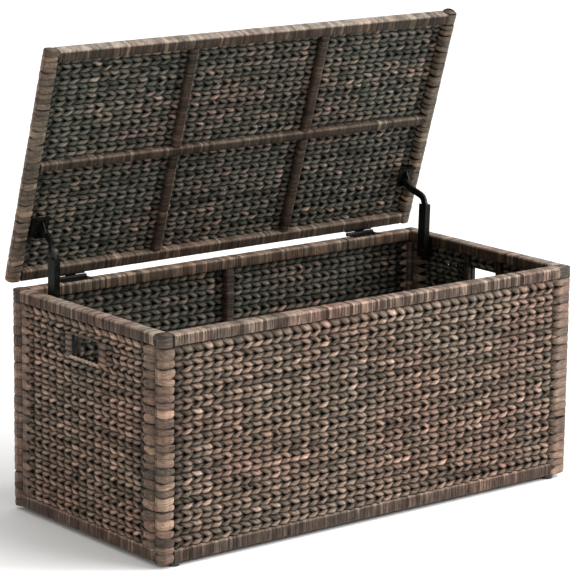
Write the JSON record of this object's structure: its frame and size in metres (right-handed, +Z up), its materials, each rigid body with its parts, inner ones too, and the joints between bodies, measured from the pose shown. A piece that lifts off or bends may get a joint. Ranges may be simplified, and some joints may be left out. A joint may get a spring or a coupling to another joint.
{
  "type": "storage trunk",
  "caption": "Rectangular woven storage trunk with wrapped frame rails, handle openings in both ends and a flat lid raised on two butt hinges and two folding stays.",
  "frame": {"origin": "middle of the bounding box on the floor the feet stand on, with the lid raised", "axes": "+X along the trunk, -Y towards its front, +Y towards the hinges, +Z up"},
  "size_m": [0.9, 0.4558, 0.8065],
  "materials": {
    "woven_hyacinth": "dark brown twisted plant strand, low sheen, uneven tone",
    "wrapped_rail": "rail wrapped in flat plant strip, dark brown with paler worn edges",
    "base_board": "plain dark board",
    "foot_plastic": "black, matt",
    "black_steel": "black coated steel, satin"
  },
  "bodies": {
    "box": {"back_bottom_rail": "wrapped_rail", "back_centre_stile": "wrapped_rail", "back_left_foot": "foot_plastic", "back_left_post": "wrapped_rail", "back_right_foot": "foot_plastic", "back_right_post": "wrapped_rail", "back_top_rail": "wrapped_rail", "back_weave": "woven_hyacinth", "base_board": "base_board", "base_left_bar": "base_board", "base_right_bar": "base_board", "front_bottom_rail": "wrapped_rail", "front_centre_stile": "wrapped_rail", "front_left_foot": "foot_plastic", "front_left_post": "wrapped_rail", "front_right_foot": "foot_plastic", "front_right_post": "wrapped_rail", "front_top_rail": "wrapped_rail", "front_weave": "woven_hyacinth", "left_back_stile": "wrapped_rail", "left_bottom_rail": "wrapped_rail", "left_front_stile": "wrapped_rail", "left_hinge_box_leaf": "black_steel", "left_hinge_pin": "black_steel", "left_slot_back_stile": "wrapped_rail", "left_slot_front_stile": "wrapped_rail", "left_stay_box_bracket": "black_steel", "left_top_rail": "wrapped_rail", "left_weave": "woven_hyacinth", "right_back_stile": "wrapped_rail", "right_bottom_rail": "wrapped_rail", "right_front_stile": "wrapped_rail", "right_hinge_box_leaf": "black_steel", "right_hinge_pin": "black_steel", "right_slot_back_stile": "wrapped_rail", "right_slot_front_stile": "wrapped_rail", "right_stay_box_bracket": "black_steel", "right_top_rail": "wrapped_rail", "right_weave": "woven_hyacinth"},
    "lid": {"left_hinge_lid_leaf": "black_steel", "left_stay_lid_bracket": "black_steel", "left_stay_lid_rivet": "black_steel", "lid_back_left_batten": "wrapped_rail", "lid_back_rail": "wrapped_rail", "lid_back_right_batten": "wrapped_rail", "lid_front_left_batten": "wrapped_rail", "lid_front_rail": "wrapped_rail", "lid_front_right_batten": "wrapped_rail", "lid_left_rail": "wrapped_rail", "lid_middle_batten": "wrapped_rail", "lid_right_rail": "wrapped_rail", "lid_weave": "woven_hyacinth", "right_hinge_lid_leaf": "black_steel", "right_stay_lid_bracket": "black_steel", "right_stay_lid_rivet": "black_steel"},
    "left_stay_channel": {"left_stay_channel": "black_steel"},
    "right_stay_channel": {"right_stay_channel": "black_steel"},
    "left_stay_arm": {"left_stay_arm": "black_steel"},
    "right_stay_arm": {"right_stay_arm": "black_steel"}
  },
  "joints": [
    {"name": "lid_hinge", "type": "hinge", "parent": "box", "child": "lid", "pos_m": [0, 0.20615, 0.3892], "axis": [1, 0, 0], "range_deg": [0, 73.35]},
    {"name": "left_stay_channel_pivot", "type": "hinge", "parent": "box", "child": "left_stay_channel", "pos_m": [-0.414, 0.12875, 0.3585], "axis": [1, 0, 0], "range_deg": [0, 114.5]},
    {"name": "left_stay_arm_pivot", "type": "hinge", "parent": "lid", "child": "left_stay_arm", "pos_m": [-0.414, 0.16887, 0.48243], "axis": [1, 0, 0], "range_deg": [-73.5, 0]},
    {"name": "right_stay_channel_pivot", "type": "hinge", "parent": "box", "child": "right_stay_channel", "pos_m": [0.414, 0.12875, 0.3585], "axis": [1, 0, 0], "range_deg": [0, 114.5]},
    {"name": "right_stay_arm_pivot", "type": "hinge", "parent": "lid", "child": "right_stay_arm", "pos_m": [0.414, 0.16887, 0.48243], "axis": [1, 0, 0], "range_deg": [-73.5, 0]}
  ],
  "couplings": [
    {"joint": "left_stay_channel_pivot", "follows": "lid_hinge", "ratio": 1.5532},
    {"joint": "left_stay_arm_pivot", "follows": "lid_hinge", "ratio": -1},
    {"joint": "right_stay_channel_pivot", "follows": "lid_hinge", "ratio": 1.5532},
    {"joint": "right_stay_arm_pivot", "follows": "lid_hinge", "ratio": -1}
  ]
}
